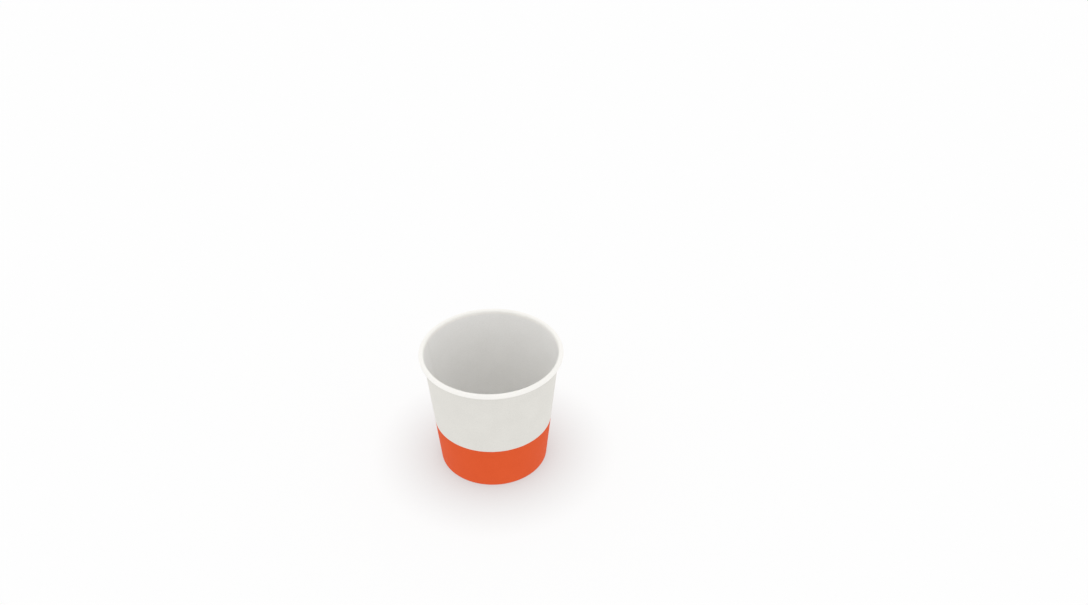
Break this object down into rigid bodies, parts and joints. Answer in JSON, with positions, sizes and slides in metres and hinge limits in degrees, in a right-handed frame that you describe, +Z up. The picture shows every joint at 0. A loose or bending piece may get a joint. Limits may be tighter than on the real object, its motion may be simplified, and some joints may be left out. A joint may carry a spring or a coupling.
{
  "type": "paper espresso cup",
  "caption": "Small tapered paper cup with a rolled rim, a lapped side seam and a recessed bottom disc sealed into the hemmed foot; a plain colour band is printed round its lower wall.",
  "frame": {"origin": "middle of the foot, on the table", "axes": "+Z up along the cup's axis; the cut edge of the side seam's lap is at -X"},
  "size_m": [0.062, 0.062, 0.0565],
  "materials": {
    "printed_board": "matt white coated board, with a plain orange-red band printed round the lower wall",
    "plain_board": "plain white coated board"
  },
  "bodies": {
    "root": {"side_wall": "printed_board", "bottom_disc": "plain_board"}
  },
  "joints": []
}
